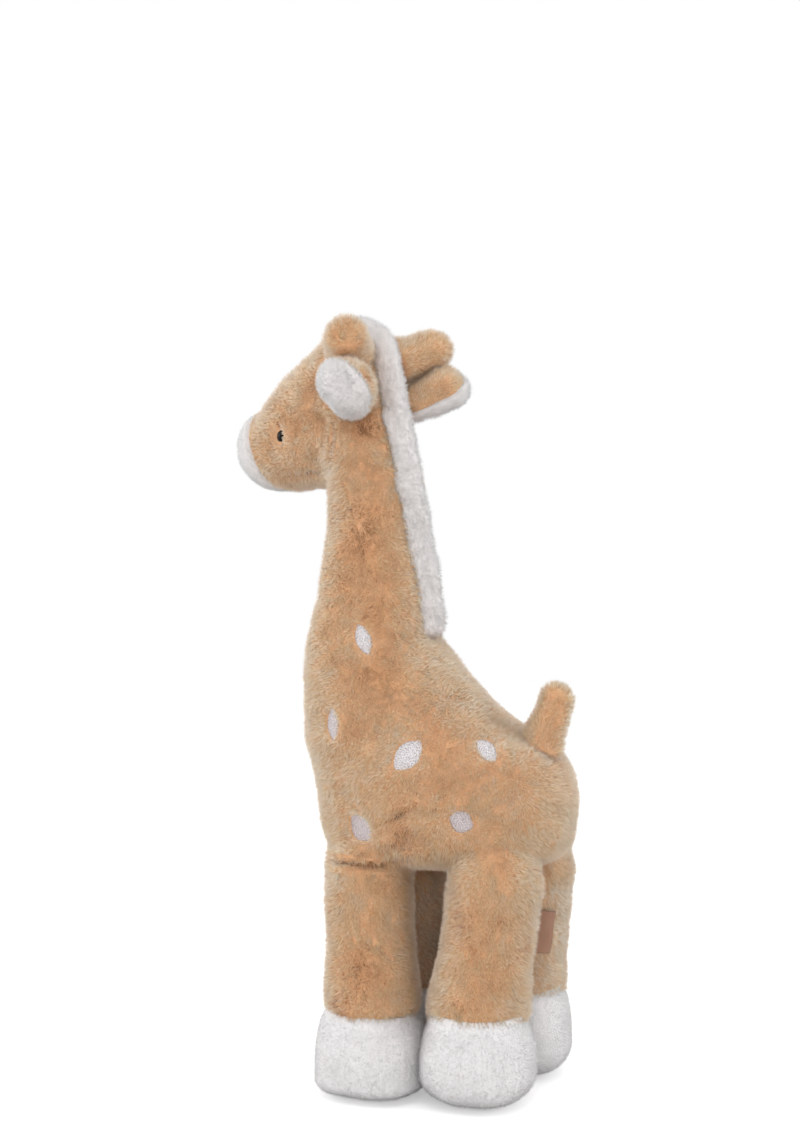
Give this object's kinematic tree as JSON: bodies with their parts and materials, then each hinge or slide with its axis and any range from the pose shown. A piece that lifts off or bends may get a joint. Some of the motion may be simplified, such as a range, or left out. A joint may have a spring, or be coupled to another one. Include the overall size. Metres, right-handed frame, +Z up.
{
  "type": "stuffed toy giraffe",
  "caption": "Standing stuffed toy giraffe in short plush, with a turned head, puffy ears and horns, a raised mane, an upright tail, embroidered spots and padded hooves.",
  "frame": {"origin": "on the floor, below the middle of the giraffe's bounding box", "axes": "+Z up, -Y the way the body faces, +X the giraffe's left side"},
  "size_m": [0.136, 0.2188, 0.4359],
  "materials": {
    "tan_plush": "short dense tan plush with the nap laid down",
    "white_plush": "short dense white plush",
    "satin_thread": "pale satin embroidery stitches",
    "dark_gloss": "polished very dark brown",
    "brown_ribbon": "flat woven ribbon, bare"
  },
  "bodies": {
    "body": {"torso": "tan_plush", "neck": "tan_plush", "mane_neck": "white_plush", "spot_left_1": "satin_thread", "spot_left_2": "satin_thread", "spot_left_3": "satin_thread", "spot_left_4": "satin_thread", "spot_left_5": "satin_thread", "spot_left_6": "satin_thread", "spot_right_1": "satin_thread", "spot_right_2": "satin_thread", "spot_right_3": "satin_thread", "spot_right_4": "satin_thread", "spot_right_5": "satin_thread", "spot_right_6": "satin_thread", "leg_front_left": "tan_plush", "leg_front_right": "tan_plush", "leg_hind_left": "tan_plush", "leg_hind_right": "tan_plush", "hoof_front_left": "white_plush", "hoof_front_right": "white_plush", "hoof_hind_left": "white_plush", "hoof_hind_right": "white_plush", "label": "brown_ribbon"},
    "head": {"head": "tan_plush", "muzzle": "white_plush", "mane_head": "white_plush", "eye_left": "dark_gloss", "eye_right": "dark_gloss"},
    "tail": {"tail": "tan_plush"},
    "ear_left": {"ear_back_left": "tan_plush", "ear_lining_left": "white_plush"},
    "ear_right": {"ear_back_right": "tan_plush", "ear_lining_right": "white_plush"},
    "horn_left": {"horn_left": "tan_plush"},
    "horn_right": {"horn_right": "tan_plush"}
  },
  "joints": [
    {"name": "neck_twist", "type": "hinge", "parent": "body", "child": "head", "pos_m": [0, -0.01014, 0.338], "axis": [0, 0, 1], "range_deg": [-15, 30], "stiffness_Nm_per_rad": 1.2},
    {"name": "tail_flex", "type": "hinge", "parent": "body", "child": "tail", "pos_m": [0, 0.08838, 0.191], "axis": [1, 0, 0], "range_deg": [-35, 10], "stiffness_Nm_per_rad": 0.12},
    {"name": "ear_left_flex", "type": "hinge", "parent": "head", "child": "ear_left", "pos_m": [0.02468, -0.0158, 0.383], "axis": [-0.0741, 0.7123, -0.698], "range_deg": [-2, 30], "stiffness_Nm_per_rad": 0.12},
    {"name": "ear_right_flex", "type": "hinge", "parent": "head", "child": "ear_right", "pos_m": [-0.02168, 0.00293, 0.383], "axis": [-0.6694, -0.5187, 0.5318], "range_deg": [-2, 30], "stiffness_Nm_per_rad": 0.12},
    {"name": "horn_left_flex", "type": "hinge", "parent": "head", "child": "horn_left", "pos_m": [0.01901, -0.01782, 0.413], "axis": [-0.2756, 0.9613, 0], "range_deg": [-15, 1], "stiffness_Nm_per_rad": 0.15},
    {"name": "horn_right_flex", "type": "hinge", "parent": "head", "child": "horn_right", "pos_m": [-0.01901, -0.00246, 0.413], "axis": [-0.866, -0.5, 0], "range_deg": [-15, 1], "stiffness_Nm_per_rad": 0.15}
  ]
}
